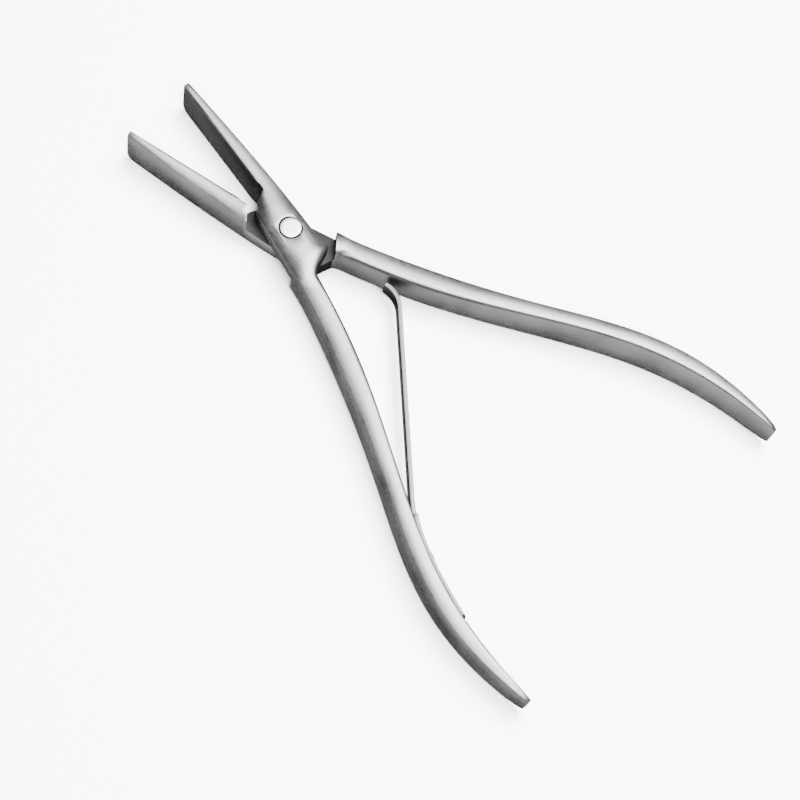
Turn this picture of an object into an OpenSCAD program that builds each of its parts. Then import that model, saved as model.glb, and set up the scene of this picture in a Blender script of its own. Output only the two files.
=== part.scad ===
// Grozing pliers for nibbling glass edges.
// Two crossed steel levers turn on one rivet and a leaf spring holds them open.
// Origin: centre of the rivet's flat back end, on the bench.
// +X runs along the centreline to the jaw tips, +Z is up. Millimetres.
// Each lever is drawn closed and lying along +X, then turned to the rest pose.

/* [Overall size] */
// rivet axis to the end of a handle
handle_reach = 110; // [90:1:140]
// rivet axis to the tip of a jaw
jaw_reach = 40.4; // [32:0.1:50]
// half the angle between the levers when the spring is at rest
half_open = 11.5; // [6:0.5:16]
// lap plane to the flat end of the rivet
half_thick = 5.12; // [4.2:0.1:7]

/* [Handles] */
// distance from the rivet where the handle begins
neck_x = 12; // [11:0.1:16]
// offset of the handle centreline at the neck
neck_y = 3.4; // [3:0.1:5]
// offset of the handle centreline at its end
tip_y = 19; // [12:0.5:26]
// widest bow of the control line of the handle
bow_y = 28.4; // [20:0.2:36]
// handle width at the neck
neck_w = 4.4; // [3.8:0.1:6]
// handle width along the grip
grip_w = 3.6; // [3:0.1:5]
// handle width at its very end
end_w = 0.9; // [0.8:0.1:2]
// half height of the handle side wall at the neck
neck_h = 3.6; // [3:0.1:4.2]
// half height of the handle side wall at the grip
grip_h = 4.62; // [3.8:0.02:5.4]
// rise of the rounded faces as a share of the handle width
crown = 0.13; // [0.06:0.01:0.2]

/* [Joint and jaws] */
// half width of the joint across the rivet
boss_r = 4.02; // [3.8:0.02:5.5]
// width of one jaw at its tip
tip_w = 1.3; // [1:0.1:2.5]
// half height of the side wall at the rivet
boss_h = 3.91; // [3.4:0.01:4.2]
// half height of the side wall at the jaw tip
tip_h = 4.8; // [4:0.1:5]
// distance from the rivet axis to the shoulder on the jaw side
jaw_shoulder = 8.85; // [8.4:0.05:11]
// distance from the rivet axis to the shoulder on the handle side
grip_shoulder = 8.88; // [8.4:0.02:11]
// gap between a shoulder and the wall it closes on, jaw side
jaw_stop_gap = 0.5; // [0.3:0.05:1]
// gap between a shoulder and the wall it closes on, handle side
grip_stop_gap = 1.07; // [0.3:0.01:1.5]
// length of the relief in front of the joint where the jaws do not meet
notch_end = 13.8; // [13:0.1:18]
// rounding of the lower corner of the jaw tips
tip_round = 2.3; // [0.5:0.1:3]

/* [Rivet] */
// diameter of the rivet shank
rivet_d = 3.42; // [2.8:0.02:4]
// diameter of the two rivet heads
head_d = 4.8; // [4.2:0.1:6]
// depth of the counterbores the heads sit in, below the lap's outer face
sink = 1.2; // [0.6:0.1:1.8]

/* [Spring] */
// thickness of the spring strip
leaf_t = 0.9; // [0.5:0.05:1.3]
// width of the free leaf
leaf_w = 3.8; // [2.5:0.1:6]
// width of the foot under the screw
foot_w = 6.8; // [4.5:0.1:8.6]
// slope of the free leaf below the centreline
leaf_slope = 32.7; // [31:0.1:34]
// radius of the bend where the leaf leaves the handle
bend_r = 34; // [20:1:50]
// radius of the curl at the free end
curl_r = 6.6; // [4:0.1:9]
// angle the curl runs past its lowest point
curl_up = 22; // [10:1:60]
// distance along the leaf from the bend to the point it flexes about
flex_at = 12; // [8:1:18]
// diameter of the screw shank
screw_d = 2.46; // [1.8:0.02:3]
// diameter of the screw head
screw_head_d = 4.4; // [3.4:0.1:5]
// height of the domed screw head
screw_head_h = 0.8; // [0.6:0.05:1.2]

/* [Hidden] */
$fn = 64;
lap_z = half_thick;
handle_len = handle_reach - neck_x;
lap_gap = 0.02;
run_fit = 0.04;
head_gap = 0.25;
fit = 0.02;
face_gap = 0.02;
jaw_angle = 31.5;
grip_angle = 28.5;
corner_r = 0.8;
crotch_r = 1.5;
seat_cut = 0.12;
hit = 8;

// Control points of the handle centreline, from the neck to the end.
ctrl = [
  [-neck_x, neck_y],
  [-neck_x - 0.49 * handle_len, neck_y + 0.268 * (bow_y - neck_y)],
  [-neck_x - 0.617 * handle_len, bow_y],
  [-handle_reach, tip_y],
];

function clip(v) = max(0, min(1, v));
function ease(v) = let (u = clip(v)) u * u * (3 - 2 * u);
function mix(a, b, k) = a + (b - a) * k;
function at(a) = [cos(a), sin(a)];

// Point of the handle centreline at share u of the curve.
function bow(u) =
  pow(1 - u, 3) * ctrl[0] + 3 * u * pow(1 - u, 2) * ctrl[1]
  + 3 * u * u * (1 - u) * ctrl[2] + pow(u, 3) * ctrl[3];

// Share of the curve at which it reaches a given x.
function share(x, lo = 0, hi = 1, n = 26) =
  let (m = (lo + hi) / 2)
  n == 0 ? m : bow(m)[0] > x ? share(x, m, hi, n - 1) : share(x, lo, m, n - 1);

// How far along the handle a station lies, 0 at the neck and 1 at the end.
function along(x) = clip((-neck_x - x) / handle_len);

function handle_w(x) =
  let (s = along(x), swell = 0.35)
  neck_w + swell * ease(s / 0.16)
  - (neck_w + swell - grip_w) * ease((s - 0.163) / 0.327)
  - (grip_w - end_w) * pow(clip((s - 0.65) / 0.35), 2);

function handle_c(x) = bow(share(x))[1];

// Half height of the side walls: low at the neck, full at the grip, blunt at the end.
function handle_h(x) =
  let (s = along(x), e = clip((-x - handle_reach + 4.5) / 4.5))
  let (full = mix(neck_h, grip_h, ease((s - 0.12) / 0.45)) - 0.9 * pow(clip((s - 0.6) / 0.4), 2))
  mix(2.6, full, sqrt(max(0, 1 - e * e)));

function jaw_share(x) = clip(x / jaw_reach);

// Outer wall of the jaw and of the joint.
function wall_out(x) =
  x > 0 ? -(tip_w + (boss_r - tip_w) * (1 - pow(jaw_share(x), 1.5))) : -boss_r - 0.011 * x * x;

function boss_top(x) = neck_y + neck_w / 2 - 0.09 * (x + neck_x);

// Lower and upper edge of the forged blank before the joint is cut.
function blank_lo(x) =
  x <= -neck_x ? handle_c(x) - handle_w(x) / 2
  : mix(handle_c(-neck_x) - handle_w(-neck_x) / 2, wall_out(x), clip((x + neck_x) / 3.7));

function blank_hi(x) =
  x <= -neck_x ? handle_c(x) + handle_w(x) / 2
  : mix(boss_top(x), 0.4, ease((x - 7.2) / (notch_end - 7)));

function side_h(x) = x <= -neck_x ? handle_h(x) : mix(boss_h + 0.022 * min(x, 0), tip_h, jaw_share(x));

// Middle, half width and highest line of the rounded top of the blank.
// The top is highest near the inner edge of a handle and near the gripping face of a jaw.
function crown_y(x) =
  let (boss_y = mix((boss_top(x) + wall_out(x)) / 2, wall_out(x) / 2, ease((x - 3) / 12)))
  mix(handle_c(min(x, -neck_x)), boss_y, ease((x + neck_x) / 5));
function crown_hw(x) =
  let (boss_hw = mix((boss_top(x) - wall_out(x)) / 2, -wall_out(x) / 2, ease((x - 3) / 12)))
  mix(handle_w(min(x, -neck_x)) / 2, boss_hw, ease((x + neck_x) / 5));
function ridge(x) = mix(mix(-0.6, 0, ease((x + neck_x + 4) / 12)), 0.6, ease((x - 2) / 12));
function top_z(x, y) =
  let (u = (y - crown_y(x)) / crown_hw(x), a = ridge(x))
  let (fall = pow(abs(u - a) / (u < a ? 1 + a : 1 - a), 2.5))
  side_h(x) + 2 * crown * crown_hw(x) * max(-0.8, 1 - fall);

// One cross-section: the top from edge to edge, then the bottom back again.
cuts = 10;
function ring(x) = concat(
  [for (i = [0:cuts]) let (y = mix(blank_lo(x), blank_hi(x), i / cuts)) [x, y, top_z(x, y)]],
  [for (i = [cuts:-1:0]) let (y = mix(blank_lo(x), blank_hi(x), i / cuts)) [x, y, -top_z(x, y)]]
);

// Stations from the end of the handle to the jaw tip.
stations = concat(
  [for (a = [0:15:75]) -handle_reach + 4.5 * (1 - cos(a))],
  [for (i = [0:43]) mix(-handle_reach + 4.5, -neck_x, i / 44)],
  [-neck_x],
  [for (i = [1:20]) mix(-neck_x, 0, i / 20)],
  [for (i = [1:26]) mix(0, jaw_reach, i / 26)]
);

// Points where an arc of radius r touches the two sides of a corner, and its centre.
function corner(a, v, b, r) =
  let (p = (a - v) / norm(a - v), q = (b - v) / norm(b - v))
  let (half = acos(p * q) / 2, m = (p + q) / norm(p + q))
  [v + p * r / tan(half), v + q * r / tan(half), v + m * r / sin(half)];

// Crossing of two lines, each given by a point and a direction.
function meet(p, d, q, e) =
  let (k = ((q[0] - p[0]) * e[1] - (q[1] - p[1]) * e[0]) / (d[0] * e[1] - d[1] * e[0]))
  p + k * d;

// Point at height y on the line square to angle a at distance d from the rivet.
function on_line(a, d, y) = [(d - y * sin(a)) / cos(a), y];

// Circle through three points of the inner handle wall: the seat of the spring.
function wall_in(x) = [x, handle_c(x) - handle_w(x) / 2];
foot_root = -neck_x - 0.551 * handle_len;
foot_tail = -neck_x - 0.786 * handle_len;
foot_mid = (foot_root + foot_tail) / 2;
seat_c =
  let (a = wall_in(foot_root), m = wall_in(foot_mid), b = wall_in(foot_tail))
  let (ab = m - a, bc = b - m)
  meet((a + m) / 2, [-ab[1], ab[0]], (m + b) / 2, [-bc[1], bc[0]]);
seat_r = norm(wall_in(foot_mid) - seat_c) + seat_cut;
function seat_angle(p) = atan2(p[1] - seat_c[1], p[0] - seat_c[0]);

// Spring centreline: foot on the seat, bend, straight leaf, curl.
strip_r = seat_r - fit - leaf_t / 2;
tail_a = seat_angle(wall_in(foot_tail));
root_a = seat_angle(wall_in(foot_root)) + 4.1;
step_a = root_a - 11.8;
screw_a = root_a + 1.3;
bend_c = seat_c + (strip_r - bend_r) * at(root_a);
leaf_a = 90 - leaf_slope;
bend_end = bend_c + bend_r * at(leaf_a);
leaf_dir = at(-leaf_slope);
flex_p = bend_end + flex_at * leaf_dir;

// The leaf ends where its curl comes this close to the other handle at rest.
curl_room = 0.7104;

// A point seen from the other lever, in that lever's closed place.
function in_back(p) =
  let (a = 2 * half_open)
  [p[0] * cos(a) + p[1] * sin(a), p[0] * sin(a) - p[1] * cos(a)];

function curl_at(len) = bend_end + len * leaf_dir + curl_r * at(leaf_a);

// Room between the curl and the other handle for a leaf of this length.
function room_at(len) =
  let (p = in_back(curl_at(len)))
  wall_in(p[0])[1] - p[1] - curl_r - leaf_t / 2;

function fit_leaf(lo = 0, hi = handle_reach, n = 30) =
  let (m = (lo + hi) / 2)
  n == 0 ? m : room_at(m) > curl_room ? fit_leaf(m, hi, n - 1) : fit_leaf(lo, m, n - 1);

leaf_len = fit_leaf();
curl_c = curl_at(leaf_len);

bore_d = rivet_d + 2 * run_fit;
cbore_d = head_d + 2 * head_gap;
cbore_z = boss_h + 2 * crown * boss_r - sink;
screw_bore_d = screw_d + 0.04;
screw_depth = 2.6;
head_seat = seat_r - fit - leaf_t - 0.05;

// sub-part to draw

// Solid skin over the cross-sections.
module forged_blank() {
  n = 2 * (cuts + 1);
  m = len(stations);
  points = [for (x = stations) each ring(x)];
  sides = [
    for (i = [0:m - 2]) for (j = [0:n - 1])
      let (a = i * n + j, b = i * n + (j + 1) % n)
      each [[a, b, b + n], [a, b + n, a + n]]
  ];
  end_cap = [for (j = [0:cuts - 1]) each [[j, j + 1, n - 2 - j], [j, n - 2 - j, n - 1 - j]]];
  first = [for (f = end_cap) [f[0], f[2], f[1]]];
  last = [for (f = end_cap) [for (v = f) v + (m - 1) * n]];
  polyhedron(points = points, faces = concat(sides, first, last), convexity = 6);
}

// Everything above the gripping face, the relief behind it and the jaw-side shoulder.
module grip_cut() {
  low = on_line(jaw_angle, jaw_shoulder, -0.45);
  high = on_line(jaw_angle, jaw_shoulder, 2.83);
  k = corner(high, low, [notch_end, -0.45], corner_r);
  translate([0, 0, -hit])
    linear_extrude(height = 2 * hit)
      union() {
        polygon([
          k[0], k[1], [notch_end - 1.6, -0.45], [notch_end, -face_gap],
          [jaw_reach + 5, -face_gap], [jaw_reach + 5, hit], [high[0] - 7.5, hit], high,
        ]);
        translate(k[2])
          circle(r = corner_r);
      }
}

// Outside of the handle-side shoulder, rounded into the handle's inner wall.
module shoulder_cut() {
  a = 180 + grip_angle;
  foot = on_line(a, grip_shoulder, -hit);
  top = on_line(a, grip_shoulder, 0);
  p = wall_in(-neck_x) - [0, 0.02];
  q = wall_in(-neck_x - 1) - [0, 0.02];
  v = meet(top, top - foot, p, q - p);
  k = corner(foot, v, q, crotch_r);
  translate([0, 0, -hit])
    linear_extrude(height = 2 * hit)
      union() {
        polygon([foot, k[0], k[1], q, [q[0], -hit]]);
        translate(k[2])
          circle(r = crotch_r);
      }
}

// Room for the other lever, below the lap plane.
module lap_recess() {
  jaw_wall = jaw_shoulder + jaw_stop_gap;
  grip_wall = grip_shoulder + grip_stop_gap;
  translate([0, 0, -hit])
    linear_extrude(height = hit + lap_gap)
      polygon([
        on_line(-jaw_angle, jaw_wall, -hit),
        on_line(-jaw_angle, jaw_wall, hit),
        on_line(180 - grip_angle, grip_wall, hit),
        on_line(180 - grip_angle, grip_wall, -hit),
      ]);
}

// Takes the lower corner off the jaw tip.
module tip_cut() {
  edge = tip_h + 0.15;
  difference() {
    translate([jaw_reach - tip_round, -hit, -edge - 1])
      cube([tip_round + 1, 2 * hit, tip_round + 1]);
    translate([jaw_reach - tip_round, 0, -edge + tip_round])
      rotate([90, 0, 0])
        cylinder(r = tip_round, h = 3 * hit, center = true);
  }
}

// One lever, closed, its joint half above the lap plane. low_side: -1 or 1.
module lever(low_side) {
  difference() {
    forged_blank();
    grip_cut();
    shoulder_cut();
    lap_recess();
    mirror([0, 0, low_side < 0 ? 0 : 1])
      tip_cut();
    cylinder(d = bore_d, h = 3 * hit, center = true);
    translate([0, 0, cbore_z])
      cylinder(d = cbore_d, h = hit);
  }
}

// Stretch of the strip's centreline along an arc, each point with its normal.
function arc_path(c, r, from, to, n, side = 1) =
  [for (i = [0:n]) let (a = mix(from, to, i / n)) [c + r * at(a), side * at(a)]];

// Outline of a strip of even thickness about its centreline.
function outline(path) = concat(
  [for (q = path) q[0] + q[1] * leaf_t / 2],
  [for (i = [len(path) - 1:-1:0]) path[i][0] - path[i][1] * leaf_t / 2]
);

foot_path = concat(
  arc_path(seat_c, strip_r, tail_a, root_a, 24),
  [for (i = [1:12]) arc_path(bend_c, bend_r, root_a, leaf_a, 12)[i]],
  [[bend_end + (flex_at - leaf_t / 2 - 0.05) * leaf_dir, at(leaf_a)]]
);
leaf_path = concat(
  [[flex_p, at(leaf_a)]],
  arc_path(curl_c, curl_r, 270 - leaf_slope, 270 + curl_up, 18, -1)
);
leaf_tail = [for (i = [1:9]) flex_p - leaf_t / 2 * at(leaf_a + 180 * (10 - i) / 10 + 180)];

// Puts a shape on the screw axis, its +Z pointing out of the handle wall.
module on_screw(depth) {
  p = seat_c + depth * at(screw_a);
  translate([p[0], p[1], 0])
    rotate([0, 0, screw_a])
      rotate([0, -90, 0])
        children();
}

// Rest pose of the front lever and everything fixed to it.
module front_pose() {
  translate([0, 0, lap_z])
    rotate([0, 0, -half_open])
      children();
}

module front_lever() {
  color([0.72, 0.73, 0.75])
    front_pose()
      difference() {
        lever(-1);
        translate([0, 0, -hit])
          linear_extrude(height = 2 * hit)
            polygon(concat(
              [for (i = [0:30]) seat_c + seat_r * at(mix(leaf_a + 12, tail_a + 0.6, i / 30))],
              [seat_c + (seat_r - 3) * at(tail_a + 0.6), seat_c + (seat_r - 3) * at(leaf_a + 12)]
            ));
        on_screw(seat_r + screw_depth)
          cylinder(d = screw_bore_d, h = screw_depth + 1);
      }
}

module back_lever() {
  color([0.7, 0.71, 0.73])
    translate([0, 0, lap_z])
      rotate([0, 0, half_open])
        rotate([180, 0, 0])
          lever(1);
}

// Shank with a flush head at each end, the rims lightly broken.
module pivot_rivet() {
  rim = 0.2;
  head_h = half_thick - cbore_z - fit;
  color([0.8, 0.81, 0.82])
    translate([0, 0, lap_z])
      union() {
        cylinder(d = rivet_d, h = 2 * half_thick - 1, center = true);
        for (side = [0, 1])
          mirror([0, 0, side])
            translate([0, 0, half_thick - head_h])
              union() {
                cylinder(d = head_d, h = head_h - rim);
                translate([0, 0, head_h - rim])
                  cylinder(d1 = head_d, d2 = head_d - 2 * rim, h = rim);
              }
      }
}

// Wide foot on its seat, the bend and the root of the free leaf.
module spring_foot() {
  step_p = bend_c + bend_r * at(step_a);
  color([0.6, 0.61, 0.63])
    front_pose()
      difference() {
        translate([0, 0, -foot_w / 2])
          linear_extrude(height = foot_w)
            polygon(outline(foot_path));
        for (side = [0, 1])
          mirror([0, 0, side])
            translate([step_p[0], step_p[1], leaf_w / 2])
              rotate([0, 0, step_a])
                translate([-hit, -3 * hit, 0])
                  cube([2 * hit, 3 * hit, hit]);
        on_screw(seat_r + 1)
          cylinder(d = screw_d + 0.34, h = 4);
      }
}

// Free end of the leaf, rounded on the point it flexes about.
module spring_leaf() {
  color([0.62, 0.63, 0.65])
    front_pose()
      translate([0, 0, -leaf_w / 2])
        linear_extrude(height = leaf_w)
          polygon(concat(outline(leaf_path), leaf_tail));
}

// Slotted screw with a low domed head.
module spring_screw() {
  ball_r = (screw_head_d * screw_head_d / 4 + screw_head_h * screw_head_h) / (2 * screw_head_h) + 0.6;
  color([0.75, 0.76, 0.78])
    front_pose()
      on_screw(head_seat)
        difference() {
          union() {
            intersection() {
              cylinder(d = screw_head_d, h = screw_head_h + 1);
              translate([0, 0, screw_head_h - ball_r])
                sphere(r = ball_r);
            }
            translate([0, 0, head_seat - seat_r - screw_depth + 0.15])
              cylinder(d = screw_d, h = seat_r + screw_depth - 0.15 - head_seat + 0.1);
          }
          translate([-hit, -0.3, screw_head_h - 0.42])
            cube([2 * hit, 0.6, 2]);
        }
}

front_lever();
back_lever();
pivot_rivet();
spring_foot();
spring_leaf();
spring_screw();
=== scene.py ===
# %% [markdown]
# # Grozing pliers
# Grozing pliers nibble the edge of cut glass. This pair is two slim forged
# levers that cross on a flush rivet. A leaf spring, screwed inside one handle,
# pushes the other handle away so the jaws open by themselves.
# Lengths below are in millimetres on the model and are turned to metres by MM.

# %% Setup
import math

import bmesh
import bpy
from mathutils import Matrix, Vector


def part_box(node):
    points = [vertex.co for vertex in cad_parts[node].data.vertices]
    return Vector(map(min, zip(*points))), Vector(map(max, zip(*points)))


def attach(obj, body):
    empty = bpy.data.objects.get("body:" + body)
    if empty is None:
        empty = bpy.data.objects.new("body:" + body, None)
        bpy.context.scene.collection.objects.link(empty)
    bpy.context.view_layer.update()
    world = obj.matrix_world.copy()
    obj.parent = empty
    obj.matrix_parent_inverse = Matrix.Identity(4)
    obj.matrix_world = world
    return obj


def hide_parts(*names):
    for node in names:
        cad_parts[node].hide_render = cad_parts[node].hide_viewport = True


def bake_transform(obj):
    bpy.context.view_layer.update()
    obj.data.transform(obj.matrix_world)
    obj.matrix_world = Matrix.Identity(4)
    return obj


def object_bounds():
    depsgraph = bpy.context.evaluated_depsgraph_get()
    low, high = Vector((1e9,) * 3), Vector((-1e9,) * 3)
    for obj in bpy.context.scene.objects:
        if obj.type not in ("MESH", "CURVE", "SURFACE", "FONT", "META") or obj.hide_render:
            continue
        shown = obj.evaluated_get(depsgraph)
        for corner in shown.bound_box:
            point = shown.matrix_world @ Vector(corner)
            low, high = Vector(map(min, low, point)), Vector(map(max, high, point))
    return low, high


MM = 0.001
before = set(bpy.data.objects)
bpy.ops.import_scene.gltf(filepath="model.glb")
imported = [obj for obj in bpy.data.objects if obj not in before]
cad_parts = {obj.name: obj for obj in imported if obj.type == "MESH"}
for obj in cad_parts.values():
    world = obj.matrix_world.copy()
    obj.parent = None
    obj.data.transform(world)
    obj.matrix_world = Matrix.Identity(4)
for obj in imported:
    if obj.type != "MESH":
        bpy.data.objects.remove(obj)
cad_low, cad_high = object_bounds()
bpy.ops.object.select_all(action="DESELECT")

# %% [markdown]
# ## Where things are
# Both levers turn about one upright axis, halfway up the tool. The front lever
# is turned a half opening one way and the back lever the other way. Points of
# the front lever are easiest to give with the tool closed and lying along X, so
# one small helper turns such a point to the resting pose.

# %% Places on the model
rivet_low, rivet_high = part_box("pivot_rivet")
LAP = (rivet_low[2] + rivet_high[2]) / 2
HALF_OPEN = math.radians(11.5)


def front_place(x, y, z=0.0):
    """A point of the closed front lever, in millimetres, as a point of the resting tool."""
    c, s = math.cos(-HALF_OPEN), math.sin(-HALF_OPEN)
    return Vector(((c * x - s * y) * MM, (s * x + c * y) * MM, LAP + z * MM))


def turned(angle):
    """Unit direction in the closed front lever, turned to the resting pose."""
    a = math.radians(angle) - HALF_OPEN
    return Vector((math.cos(a), math.sin(a), 0.0))


print("lap plane at", round(LAP / MM, 3), "mm")

# %% [markdown]
# ## Small tools for edit mode
# An operator works on everything that is selected, so a fresh piece starts from
# a clean selection, and faces or edges are picked by where they are.

# %% Selection helpers


def only(obj):
    """Selects one object and makes it active."""
    bpy.ops.object.select_all(action="DESELECT")
    obj.select_set(True)
    bpy.context.view_layer.objects.active = obj
    return obj


def pick(obj, test, kind="faces"):
    """Selects the faces, edges or vertices of obj that pass the test, in edit mode."""
    mode = {"faces": "FACE", "edges": "EDGE", "verts": "VERT"}[kind]
    bpy.ops.mesh.select_mode(type=mode)
    bpy.ops.mesh.select_all(action="DESELECT")
    mesh = bmesh.from_edit_mesh(obj.data)
    items = [item for item in getattr(mesh, kind) if test(item)]
    for item in items:
        item.select_set(True)
    mesh.select_flush_mode()
    bmesh.update_edit_mesh(obj.data)
    return len(items)


def settle(obj):
    """Puts the object's place into its mesh."""
    only(obj)
    bpy.ops.object.transform_apply(location=True, rotation=True, scale=True)
    return obj


def break_edges(obj, width, angle=32, segments=2):
    """Rounds every sharp edge a little and smooths the faces between."""
    only(obj)
    rounding = obj.modifiers.new("broken edges", "BEVEL")
    rounding.width = width * MM
    rounding.segments = segments
    rounding.limit_method = "ANGLE"
    rounding.angle_limit = math.radians(angle)
    rounding.use_clamp_overlap = True
    rounding.harden_normals = False
    bpy.ops.object.modifier_apply(modifier=rounding.name)
    bpy.ops.object.shade_smooth_by_angle(angle=math.radians(30))
    print(obj.name, len(obj.data.polygons), "faces")
    return obj


# %% [markdown]
# ## The two levers
# On the real tool each lever is one drop forging: a bowed handle with a low
# rounded top and flat sides, half of a lap joint, and a straight thin jaw. The
# measured solids already hold that shape. A copy is merged into one
# closed skin, its flat triangles are joined up, and the edges are broken with a
# narrow bevel, as a polishing wheel leaves them. The bevel is what catches the
# light along every rim.

# %% Finish a lever


def finished_lever(node, name, body):
    """A merged and edge-broken copy of a lever's solid."""
    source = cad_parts[node]
    piece = bpy.data.objects.new(name, source.data.copy())
    bpy.context.scene.collection.objects.link(piece)
    piece.data.materials.clear()
    for layer in list(piece.data.uv_layers):
        piece.data.uv_layers.remove(layer)
    only(piece)
    bpy.ops.object.mode_set(mode="EDIT")
    bpy.ops.mesh.select_all(action="SELECT")
    bpy.ops.mesh.customdata_custom_splitnormals_clear()
    bpy.ops.mesh.remove_doubles(threshold=0.002 * MM)
    bpy.ops.mesh.dissolve_limited(angle_limit=math.radians(0.4))
    bpy.ops.object.mode_set(mode="OBJECT")
    break_edges(piece, 0.14)
    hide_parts(node)
    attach(piece, body)
    return piece


front_lever = finished_lever("front_lever", "front_lever_forging", "front")
back_lever = finished_lever("back_lever", "back_lever_forging", "back")

# %% [markdown]
# ## The rivet
# The pivot is a rivet with a flat head let into a round recess on each side.
# A thin dark ring of recess shows around it, painted shade on the levers' sink
# walls. It is turned from a plain cylinder: the faces are inset and the rim is broken.

# %% Rivet
head_r = (rivet_high[0] - rivet_low[0]) / 2
rivet_h = rivet_high[2] - rivet_low[2]
head_h = 1.25 * MM


def rivet_head(name, top):
    """One flush head with a softly rounded rim."""
    z = rivet_high[2] - head_h / 2 if top else rivet_low[2] + head_h / 2
    bpy.ops.mesh.primitive_cylinder_add(
        vertices=96, radius=head_r, depth=head_h, location=(0, 0, z)
    )
    head = bpy.context.object
    head.name = name
    settle(head)
    bpy.ops.object.mode_set(mode="EDIT")
    way = 1 if top else -1
    pick(head, lambda f: f.normal.z * way > 0.9)
    bpy.ops.mesh.inset(thickness=0.9 * MM, depth=0)
    bpy.ops.mesh.inset(thickness=0.7 * MM, depth=0)
    bpy.ops.mesh.select_all(action="DESELECT")
    edge_z = z + way * head_h / 2
    pick(
        head,
        lambda e: all(
            abs(v.co.z - edge_z) < 1e-6 and v.co.xy.length > head_r * 0.99 for v in e.verts
        ),
        "edges",
    )
    bpy.ops.mesh.bevel(offset=0.2 * MM, segments=3, affect="EDGES")
    bpy.ops.object.mode_set(mode="OBJECT")
    bpy.ops.object.shade_smooth_by_angle(angle=math.radians(40))
    return head


rivet_top = rivet_head("rivet head", True)
rivet_tail = rivet_head("rivet tail", False)
bpy.ops.object.select_all(action="DESELECT")
bpy.ops.mesh.primitive_cylinder_add(
    vertices=64, radius=1.71 * MM, depth=rivet_h - 1 * MM, location=(0, 0, LAP)
)
shank = settle(bpy.context.object)
bpy.ops.object.select_all(action="DESELECT")
for part in (shank, rivet_tail, rivet_top):
    part.select_set(True)
bpy.context.view_layer.objects.active = rivet_top
bpy.ops.object.join()
rivet = rivet_top
rivet.name = "flush_pivot_rivet"
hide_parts("pivot_rivet")
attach(rivet, "front")
print("rivet head diameter", round(2 * head_r / MM, 2), "mm")

# %% [markdown]
# ## The leaf spring
# The spring is one strip of hardened steel. A wide foot lies against the inside
# of the front handle, then the strip narrows, bends away from the handle and
# runs straight across to the other one, where its end curls up so that it
# can slide. It is modelled as it would be bent: start from the tail's end
# face, spin it round each bend and extrude it along the straight.

# %% Strip sizes
STRIP = 0.9
FOOT_W = 6.8
LEAF_W = 3.8
SEAT_C = (-94.51274, -73.95925)
SEAT_R = 94.26278 - 0.02 - STRIP / 2
TAIL_A, ROOT_A, STEP_A = 86.66007, 76.46884, 64.66884
BEND_R = 34.0
SLOPE = 32.7
CURL_R = 6.6
CURL_UP = 22.0


def rad(a):
    return math.radians(a)


def spot(centre, radius, angle):
    return (centre[0] + radius * math.cos(rad(angle)), centre[1] + radius * math.sin(rad(angle)))


BEND_C = spot(SEAT_C, SEAT_R - BEND_R, ROOT_A)
BEND_END = spot(BEND_C, BEND_R, 90 - SLOPE)
LEAF_LEN = (-26.6 - BEND_END[0]) / math.cos(rad(SLOPE))
CURL_START = (
    BEND_END[0] + LEAF_LEN * math.cos(rad(SLOPE)),
    BEND_END[1] - LEAF_LEN * math.sin(rad(SLOPE)),
)
CURL_C = spot(CURL_START, CURL_R, 90 - SLOPE)

# %% Bend the strip


def spin_end(steps, angle, centre):
    """Spins the selected end face round an upright axis and leaves the new end selected."""
    bpy.ops.mesh.spin(
        steps=steps,
        angle=-rad(angle),
        center=front_place(*centre),
        axis=(0, 0, 1),
        dupli=False,
        use_auto_merge=False,
    )


def push_end(length, angle, steps=1):
    """Extrudes the selected end face straight on, in even steps."""
    way = turned(angle) * (length / steps) * MM
    for _ in range(steps):
        bpy.ops.mesh.extrude_region_move(TRANSFORM_OT_translate={"value": way})


tail = spot(SEAT_C, SEAT_R, TAIL_A)
bpy.ops.object.select_all(action="DESELECT")
bpy.ops.mesh.primitive_plane_add(size=1, location=front_place(*tail))
strip = bpy.context.object
strip.name = "leaf_spring_strip"
strip.rotation_euler = (math.pi / 2, 0, rad(TAIL_A) - HALF_OPEN)
strip.scale = (STRIP * MM, FOOT_W * MM, 1)
settle(strip)
bpy.ops.object.mode_set(mode="EDIT")
bpy.ops.mesh.select_mode(type="FACE")
bpy.ops.mesh.select_all(action="SELECT")
spin_end(24, ROOT_A - TAIL_A, SEAT_C)
spin_end(8, STEP_A - ROOT_A, BEND_C)
bpy.ops.mesh.extrude_region_move(TRANSFORM_OT_translate={"value": turned(STEP_A - 90) * 0.02 * MM})
bpy.ops.transform.resize(
    value=(1, 1, LEAF_W / FOOT_W), center_override=front_place(*spot(BEND_C, BEND_R, STEP_A))
)
spin_end(6, 90 - SLOPE - STEP_A, BEND_C)
push_end(LEAF_LEN, -SLOPE, 24)
spin_end(24, SLOPE + CURL_UP, CURL_C)
bpy.ops.mesh.select_all(action="SELECT")
bpy.ops.mesh.normals_make_consistent(inside=False)
bpy.ops.object.mode_set(mode="OBJECT")
print("strip spans", [round(v / MM, 1) for v in strip.dimensions])

# %% [markdown]
# The tail and the shoulders where the strip narrows are ground round on the
# real spring. Here only the tail's end corners get a wide bevel first, and then
# every edge gets a narrow one. The foot has a hole for its screw.

# %% Round the tail, drill the foot
only(strip)
bpy.ops.object.mode_set(mode="EDIT")
tail_at = front_place(*tail)
along_tail = turned(TAIL_A - 90)
pick(
    strip,
    lambda e: (
        all(abs((v.co - tail_at).dot(along_tail)) < 0.05 * MM for v in e.verts)
        and abs(e.verts[0].co.z - e.verts[1].co.z) < 1e-6
    ),
    "edges",
)
bpy.ops.mesh.bevel(offset=1.3 * MM, segments=5, affect="EDGES", clamp_overlap=False)
bpy.ops.object.mode_set(mode="OBJECT")

SCREW_A = ROOT_A + 1.3
screw_axis = turned(SCREW_A)


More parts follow.
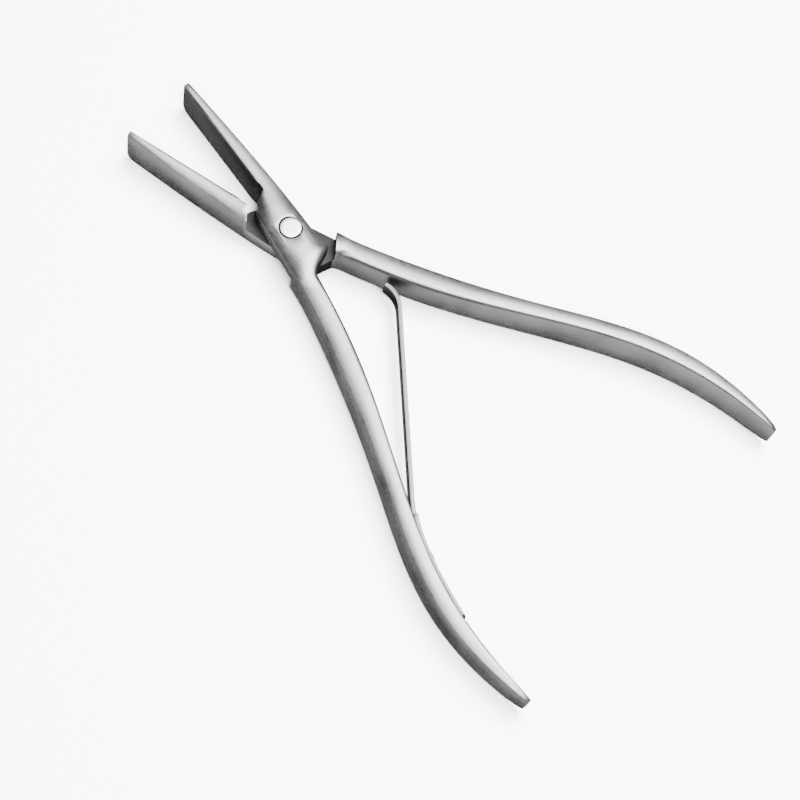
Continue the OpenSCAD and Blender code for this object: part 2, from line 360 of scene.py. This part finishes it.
def on_screw_axis(depth):
    return front_place(*spot(SEAT_C, depth, SCREW_A))


def tool_drill(radius, low, high, name):
    """A cylinder along the screw axis between two distances from the seat's centre."""
    bpy.ops.object.select_all(action="DESELECT")
    middle = on_screw_axis((low + high) / 2)
    bpy.ops.mesh.primitive_cylinder_add(
        vertices=64, radius=radius * MM, depth=(high - low) * MM, location=middle
    )
    bit = bpy.context.object
    bit.rotation_mode = "QUATERNION"
    bit.rotation_quaternion = (-screw_axis).to_track_quat("Z", "Y")
    bit.name = name
    return settle(bit)


def cut(obj, tool):
    """Takes the tool's shape out of obj and throws the tool away."""
    only(obj)
    work = obj.modifiers.new("cut", "BOOLEAN")
    work.operation = "DIFFERENCE"
    work.solver = "EXACT"
    work.object = tool
    bpy.ops.object.modifier_apply(modifier=work.name)
    bpy.data.objects.remove(tool, do_unlink=True)
    return obj


cut(strip, tool_drill(1.4, SEAT_R - 2, SEAT_R + 2, "drill"))
break_edges(strip, 0.1, 40)
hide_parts("spring_foot", "spring_leaf")
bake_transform(strip)

# %% [markdown]
# ## The spring's screw
# One small screw with a low domed head clamps the foot. The dome is a
# cylinder with its top ring bevelled round, and a straight slot is sawn across.

# %% Screw
HEAD_R, HEAD_H = 2.2, 0.8
head_seat = SEAT_R - STRIP / 2 - 0.05
bpy.ops.object.select_all(action="DESELECT")
screw = tool_drill(HEAD_R, head_seat - HEAD_H, head_seat, "domed_spring_screw")
bpy.ops.object.mode_set(mode="EDIT")
top_at = on_screw_axis(head_seat - HEAD_H)
pick(screw, lambda f: f.normal.dot(-screw_axis) > 0.9)
bpy.ops.mesh.inset(thickness=0.5 * MM)
bpy.ops.mesh.inset(thickness=0.6 * MM)
bpy.ops.mesh.inset(thickness=0.6 * MM)
rim_low = on_screw_axis(head_seat - 0.22)
bpy.ops.object.mode_set(mode="OBJECT")
for v in screw.data.vertices:
    away = v.co - top_at
    if abs(away.dot(screw_axis)) < 0.01 * MM:
        flat = away - screw_axis * away.dot(screw_axis)
        v.co = v.co + screw_axis * (0.5 * MM * (flat.length / (HEAD_R * MM)) ** 2)
slot_cutter_at = on_screw_axis(head_seat - HEAD_H)
bpy.ops.object.select_all(action="DESELECT")
bpy.ops.mesh.primitive_cube_add(size=1, location=slot_cutter_at)
saw = bpy.context.object
saw.rotation_mode = "QUATERNION"
saw.rotation_quaternion = (-screw_axis).to_track_quat("Z", "Y")
saw.rotation_mode = "XYZ"
saw.scale = (8 * MM, 0.6 * MM, 0.84 * MM)
settle(saw)
cut(screw, saw)
shaft = tool_drill(1.23, head_seat - 0.2, SEAT_R + STRIP / 2 + 2.4, "screw shank")
bpy.ops.object.select_all(action="DESELECT")
shaft.select_set(True)
screw.select_set(True)
bpy.context.view_layer.objects.active = screw
bpy.ops.object.join()
break_edges(screw, 0.07, 40)
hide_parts("spring_screw")
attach(screw, "front")

# %% [markdown]
# ## Satin steel
# The forgings are ground and then brushed with a fine belt. Two stretched noise
# patterns make the hairlines, a broad soft one makes the slightly uneven sheen
# of a hand-held wheel, and a few long thin scratches come from use.

# %% Steel recipe


def steel(name, colour, rough, grain_turn=0.0, grain=1.0, smudge=0.5, scratch=0.35):
    """Brushed steel with grain along the piece, soft sheen changes and fine scratches."""
    material = bpy.data.materials.new(name)
    material.use_nodes = True
    nodes, links = material.node_tree.nodes, material.node_tree.links
    shader = nodes["Principled BSDF"]
    shader.inputs["Metallic"].default_value = 1.0
    shader.inputs["Specular Tint"].default_value = (0.2, 0.2, 0.2, 1.0)
    place = nodes.new("ShaderNodeTexCoord")
    turn = nodes.new("ShaderNodeMapping")
    turn.inputs["Rotation"].default_value = (0, 0, grain_turn)
    turn.inputs["Scale"].default_value = (1.0, 14.0, 14.0)
    links.new(place.outputs["Object"], turn.inputs["Vector"])
    hair = nodes.new("ShaderNodeTexNoise")
    hair.inputs["Scale"].default_value = 420.0
    hair.inputs["Detail"].default_value = 4.0
    hair.inputs["Roughness"].default_value = 0.65
    links.new(turn.outputs["Vector"], hair.inputs["Vector"])
    cloud = nodes.new("ShaderNodeTexNoise")
    cloud.inputs["Scale"].default_value = 90.0
    cloud.inputs["Detail"].default_value = 5.0
    links.new(place.outputs["Object"], cloud.inputs["Vector"])
    fine = nodes.new("ShaderNodeTexNoise")
    fine.inputs["Scale"].default_value = 2600.0
    fine.inputs["Detail"].default_value = 3.0
    links.new(place.outputs["Object"], fine.inputs["Vector"])
    mark_place = nodes.new("ShaderNodeMapping")
    mark_place.inputs["Rotation"].default_value = (0.3, 0.2, grain_turn + 0.5)
    mark_place.inputs["Scale"].default_value = (1.0, 22.0, 9.0)
    links.new(place.outputs["Object"], mark_place.inputs["Vector"])
    marks = nodes.new("ShaderNodeTexVoronoi")
    marks.feature = "DISTANCE_TO_EDGE"
    marks.inputs["Scale"].default_value = 60.0
    links.new(mark_place.outputs["Vector"], marks.inputs["Vector"])
    thin = nodes.new("ShaderNodeMapRange")
    thin.inputs["From Min"].default_value = 0.0
    thin.inputs["From Max"].default_value = 0.012
    thin.inputs["To Min"].default_value = scratch
    thin.inputs["To Max"].default_value = 0.0
    links.new(marks.outputs["Distance"], thin.inputs["Value"])
    # Colour: base tone, a little darker in the cloud's hollows and varied along the hairlines.
    tone = nodes.new("ShaderNodeMapRange")
    tone.inputs["From Min"].default_value = 0.25
    tone.inputs["From Max"].default_value = 0.75
    tone.inputs["To Min"].default_value = 1.0 - 0.16 * smudge
    tone.inputs["To Max"].default_value = 1.0 + 0.06 * smudge
    links.new(cloud.outputs["Fac"], tone.inputs["Value"])
    hair_tone = nodes.new("ShaderNodeMapRange")
    hair_tone.inputs["From Min"].default_value = 0.3
    hair_tone.inputs["From Max"].default_value = 0.7
    hair_tone.inputs["To Min"].default_value = 1.0 - 0.07 * grain
    hair_tone.inputs["To Max"].default_value = 1.0 + 0.05 * grain
    links.new(hair.outputs["Fac"], hair_tone.inputs["Value"])
    both = nodes.new("ShaderNodeMath")
    both.operation = "MULTIPLY"
    links.new(tone.outputs["Result"], both.inputs[0])
    links.new(hair_tone.outputs["Result"], both.inputs[1])
    paint = nodes.new("ShaderNodeVectorMath")
    paint.operation = "SCALE"
    paint.inputs[0].default_value = colour
    links.new(both.outputs["Value"], paint.inputs["Scale"])
    links.new(paint.outputs["Vector"], shader.inputs["Base Color"])
    # Roughness: hairlines and cloud together.
    rough_hair = nodes.new("ShaderNodeMapRange")
    rough_hair.inputs["From Min"].default_value = 0.25
    rough_hair.inputs["From Max"].default_value = 0.75
    rough_hair.inputs["To Min"].default_value = rough - 0.07 * grain
    rough_hair.inputs["To Max"].default_value = rough + 0.09 * grain
    links.new(hair.outputs["Fac"], rough_hair.inputs["Value"])
    rough_all = nodes.new("ShaderNodeMath")
    rough_all.operation = "MULTIPLY_ADD"
    links.new(cloud.outputs["Fac"], rough_all.inputs[0])
    rough_all.inputs[1].default_value = 0.12 * smudge
    links.new(rough_hair.outputs["Result"], rough_all.inputs[2])
    links.new(rough_all.outputs["Value"], shader.inputs["Roughness"])
    # Relief: hairlines, fine polish grain, then the scratches.
    grain_bump = nodes.new("ShaderNodeBump")
    grain_bump.inputs["Strength"].default_value = 0.10 * grain
    grain_bump.inputs["Distance"].default_value = 0.00003
    links.new(hair.outputs["Fac"], grain_bump.inputs["Height"])
    fine_bump = nodes.new("ShaderNodeBump")
    fine_bump.inputs["Strength"].default_value = 0.06
    fine_bump.inputs["Distance"].default_value = 0.00002
    links.new(fine.outputs["Fac"], fine_bump.inputs["Height"])
    links.new(grain_bump.outputs["Normal"], fine_bump.inputs["Normal"])
    mark_bump = nodes.new("ShaderNodeBump")
    mark_bump.invert = True
    mark_bump.inputs["Strength"].default_value = 0.12
    mark_bump.inputs["Distance"].default_value = 0.00003
    links.new(thin.outputs["Result"], mark_bump.inputs["Height"])
    links.new(fine_bump.outputs["Normal"], mark_bump.inputs["Normal"])
    links.new(mark_bump.outputs["Normal"], shader.inputs["Normal"])
    return material


def wear(piece, material):
    """Gives a piece one material all over."""
    piece.data.materials.clear()
    piece.data.materials.append(material)
    return piece


SATIN = (0.074, 0.074, 0.076)
satin_front = steel("satin steel, front lever", SATIN, 0.31, HALF_OPEN, grain=1.7, smudge=1.5)
satin_back = steel("satin steel, back lever", SATIN, 0.31, -HALF_OPEN, grain=1.7, smudge=1.5)
wear(rivet, steel("polished rivet steel", (0.13, 0.13, 0.132), 0.3, 0.4, grain=0.6, smudge=0.3))
wear(strip, steel("spring steel", (0.028, 0.028, 0.029), 0.34, HALF_OPEN + rad(SLOPE), grain=1.1))
wear(screw, steel("screw steel", (0.016, 0.016, 0.0165), 0.3, 0.9, grain=0.6))

# %% [markdown]
# ## Darker, rougher places, and painted shade in the joint
# A polishing wheel can't reach the shoulders and walls of the joint, so they
# keep the duller, rougher face of the milling cutter. Their very dark colour, on
# the lap faces and the rivet's sink too, is painted shade for the joint's recesses.
# The gripping faces of the jaws are ground flat with fine lines across. These
# places are found by where a face lies and which way it looks, with the lever
# turned back to the closed pose.

# %% Joint walls with painted shade, and gripping faces
# The joint colour is painted shade. It is much darker than the satin, for the recess walls, lap
# faces and rivet sink, over a rougher cutter finish.
MILLED_AND_PAINTED_SHADE = (0.012, 0.012, 0.0125)
GROUND = (0.045, 0.045, 0.046)
milled_and_painted_shade = steel("milled joint steel", MILLED_AND_PAINTED_SHADE, 0.55, 0.9, grain=1.6, smudge=1.2, scratch=0.2)
ground = steel(
    "cross-ground jaw face", GROUND, 0.42, rad(90), grain=1.5, smudge=0.8, scratch=0.2
)

# Reaches from the rivet's axis and heights above the lap, in millimetres.
GRIP_START = 10.3
LAP_REACH = 16
WALL_REACH = 13.5
SINK_RADIUS = 2.72
UNDER_TOP = 4.0


def joint_zones(lever, satin, turned_over):
    """Gives a lever its satin finish, the joint faces a rougher finish dark with painted shade,
    and the jaw faces their own.
    """
    side = -1 if turned_over else 1
    back_turn = Matrix.Rotation(HALF_OPEN * side, 3, "Z")
    lever.data.materials.clear()
    for material in (satin, milled_and_painted_shade, ground):
        lever.data.materials.append(material)
    counts = [0, 0, 0]
    for face in lever.data.polygons:
        place = back_turn @ (face.center - Vector((0, 0, LAP)))
        look = back_turn @ face.normal
        x, y, z = place.x / MM, side * place.y / MM, side * place.z / MM
        nx, ny, nz = look.x, side * look.y, side * look.z
        reach = math.hypot(x, y)
        on_grip = ny > 0.9 and x > GRIP_START and -0.8 < y < 0.1
        on_lap = reach < LAP_REACH and abs(nz) > 0.9 and abs(z) < 0.3
        on_wall = reach < WALL_REACH and abs(nz) < 0.4 and abs(nx) > 0.6
        in_sink = reach < SINK_RADIUS and (z < UNDER_TOP or abs(nz) < 0.5)
        # Joint walls, lap faces and the rivet's sink take the dark joint material: painted shade
        # on a rougher cutter finish.
        face.material_index = 2 if on_grip else 1 if (on_lap or on_wall or in_sink) else 0
        counts[face.material_index] += 1
    print(lever.name, "satin, milled, ground faces:", counts)


joint_zones(front_lever, satin_front, False)
joint_zones(back_lever, satin_back, True)

# %% [markdown]
# ## Floor, light and camera
# A plain pale floor and big soft lights suit polished steel: the metal shows
# what is around it, so the bright panels draw the long highlights on the
# crowned faces, and the dark gaps between them keep the side walls grey.

# %% Floor
bpy.ops.object.select_all(action="DESELECT")
bpy.ops.mesh.primitive_plane_add(size=3.0, location=(0, 0, cad_low[2] - 0.0002))
floor = bpy.context.object
floor.name = "white_floor"
white = bpy.data.materials.new("plain white paper")
white.use_nodes = True
white.node_tree.nodes["Principled BSDF"].inputs["Base Color"].default_value = (0.66, 0.66, 0.66, 1)
white.node_tree.nodes["Principled BSDF"].inputs["Roughness"].default_value = 0.9
floor.data.materials.append(white)

# %% Lights


def panel(name, place, target, width, height, power):
    """A soft rectangular light that faces the target."""
    data = bpy.data.lights.new(name, "AREA")
    data.shape, data.size, data.size_y, data.energy = "RECTANGLE", width, height, power
    lamp = bpy.data.objects.new(name, data)
    bpy.context.scene.collection.objects.link(lamp)
    lamp.location = place
    lamp.rotation_mode = "QUATERNION"
    lamp.rotation_quaternion = (Vector(target) - Vector(place)).to_track_quat("-Z", "Y")
    return lamp


middle = (-0.03, 0, 0.005)
panel("overhead panel", (-0.03, -0.24, 0.75), middle, 0.46, 0.46, 74.0)
panel("high side panel", (-0.3, 0.22, 0.7), middle, 0.3, 0.3, 34.0)
world = bpy.data.worlds.new("studio")
bpy.context.scene.world = world
world.use_nodes = True
world.node_tree.nodes["Background"].inputs["Color"].default_value = (1, 1, 1, 1)
world.node_tree.nodes["Background"].inputs["Strength"].default_value = 0.2

# %% Camera
camera_data = bpy.data.cameras.new("camera")
camera_data.lens = 89.9
camera_data.sensor_width = 36
camera_data.clip_start, camera_data.clip_end = 0.01, 20
camera = bpy.data.objects.new("camera", camera_data)
bpy.context.scene.collection.objects.link(camera)
right = Vector((-0.7324, -0.6677, 0.1334)).normalized()
sight = Vector((0.1536, -0.3528, -0.9230)).normalized()
up = right.cross(sight).normalized()
right = sight.cross(up).normalized()
camera.matrix_world = Matrix(
    (
        (right.x, up.x, -sight.x, -0.10636),
        (right.y, up.y, -sight.y, 0.15804),
        (right.z, up.z, -sight.z, 0.38602 + LAP),
        (0, 0, 0, 1),
    )
)
bpy.context.scene.camera = camera
print("camera", [round(v, 4) for v in camera.location])
